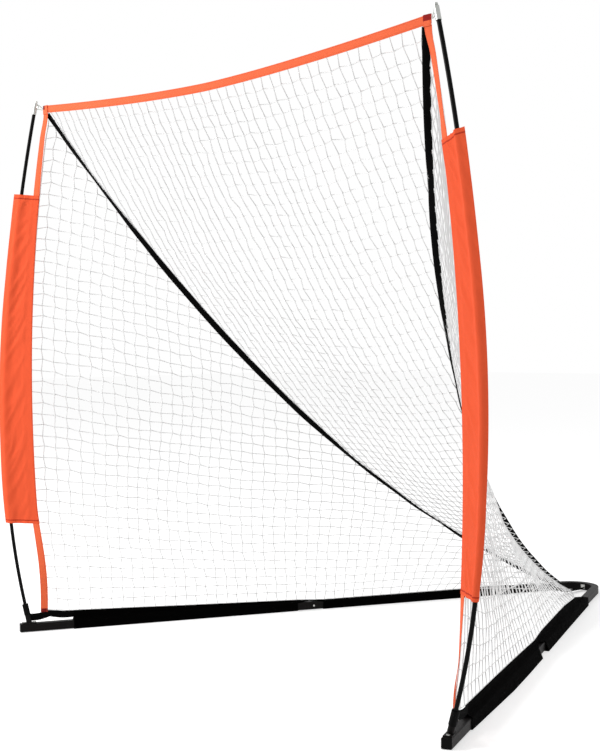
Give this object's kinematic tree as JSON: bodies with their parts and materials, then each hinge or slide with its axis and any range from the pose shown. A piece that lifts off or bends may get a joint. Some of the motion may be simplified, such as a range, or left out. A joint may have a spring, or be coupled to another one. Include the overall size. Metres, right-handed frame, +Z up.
{
  "type": "portable practice goal with net",
  "caption": "Portable sports goal: a steel V frame on the ground, sprung side poles in orange sleeves, orange mouth straps and a tent-shaped white net with black ridges and hems",
  "frame": {"origin": "on the floor, in the middle of the goal left to right and front to back", "axes": "+X to the right seen from in front of the mouth, -Y out of the mouth, +Z up"},
  "size_m": [2.1852, 2.0354, 1.843],
  "materials": {
    "black_tube": "satin black powder coat, lightly scuffed",
    "zinc_steel": "zinc-plated steel",
    "spring_steel": "plain spring steel",
    "pole_rod": "black pultruded glass fibre",
    "ferrule_metal": "plain aluminium tube",
    "tip_metal": "turned aluminium, silver",
    "cap_plastic": "black moulded plastic",
    "collar_rubber": "black rubber",
    "ring_wire": "grey-green steel wire",
    "orange_web": "bright orange woven webbing",
    "orange_cloth": "bright orange woven cloth",
    "dark_red_web": "dark red stitched webbing",
    "black_web": "black woven webbing",
    "black_cloth": "black woven cloth",
    "white_net": "white knotted twine net"
  },
  "bodies": {
    "frame": {"apex_hook": "zinc_steel", "apex_strap": "black_web", "back_net": "white_net", "button_clips": "spring_steel", "left_corner_patch": "dark_red_web", "left_corner_ring": "ring_wire", "left_corner_spigot": "zinc_steel", "left_end_cap": "cap_plastic", "left_front_hem": "black_cloth", "left_front_rail": "black_tube", "left_front_strap": "orange_web", "left_hem_strap": "black_web", "left_lower_pole": "pole_rod", "left_mid_spigot": "zinc_steel", "left_middle_pole": "pole_rod", "left_pole_ferrules": "ferrule_metal", "left_pole_sleeve": "orange_cloth", "left_pole_socket": "black_tube", "left_rear_hem": "black_cloth", "left_rear_rail": "black_tube", "left_ridge_strap": "black_web", "left_side_net": "white_net", "left_socket_collar": "collar_rubber", "left_tip_cap": "tip_metal", "left_upper_pole": "pole_rod", "rear_corner_tube": "black_tube", "right_corner_patch": "dark_red_web", "right_corner_ring": "ring_wire", "right_corner_spigot": "zinc_steel", "right_end_cap": "cap_plastic", "right_front_hem": "black_cloth", "right_front_rail": "black_tube", "right_front_strap": "orange_web", "right_hem_strap": "black_web", "right_lower_pole": "pole_rod", "right_mid_spigot": "zinc_steel", "right_middle_pole": "pole_rod", "right_pole_ferrules": "ferrule_metal", "right_pole_sleeve": "orange_cloth", "right_pole_socket": "black_tube", "right_rear_hem": "black_cloth", "right_rear_rail": "black_tube", "right_ridge_strap": "black_web", "right_side_net": "white_net", "right_socket_collar": "collar_rubber", "right_tip_cap": "tip_metal", "right_upper_pole": "pole_rod", "socket_screws": "zinc_steel", "top_strap": "orange_web"},
    "left_mid_snap_button": {"left_mid_button": "zinc_steel", "left_mid_button_arm": "spring_steel"},
    "left_corner_snap_button": {"left_corner_button": "zinc_steel", "left_corner_button_arm": "spring_steel"},
    "right_mid_snap_button": {"right_mid_button": "zinc_steel", "right_mid_button_arm": "spring_steel"},
    "right_corner_snap_button": {"right_corner_button": "zinc_steel", "right_corner_button_arm": "spring_steel"}
  },
  "joints": [
    {"name": "left_mid_button_press", "type": "slide", "parent": "frame", "child": "left_mid_snap_button", "axis": [-0.9116, 0.4111, 0], "range_m": [0, 0.0047], "stiffness_N_per_m": 800, "springref_m": -0.003},
    {"name": "left_corner_button_press", "type": "slide", "parent": "frame", "child": "left_corner_snap_button", "axis": [-0.9116, 0.4111, 0], "range_m": [0, 0.0047], "stiffness_N_per_m": 800, "springref_m": -0.003},
    {"name": "right_mid_button_press", "type": "slide", "parent": "frame", "child": "right_mid_snap_button", "axis": [0.9116, 0.4111, 0], "range_m": [0, 0.0047], "stiffness_N_per_m": 800, "springref_m": -0.003},
    {"name": "right_corner_button_press", "type": "slide", "parent": "frame", "child": "right_corner_snap_button", "axis": [0.9116, 0.4111, 0], "range_m": [0, 0.0047], "stiffness_N_per_m": 800, "springref_m": -0.003}
  ]
}
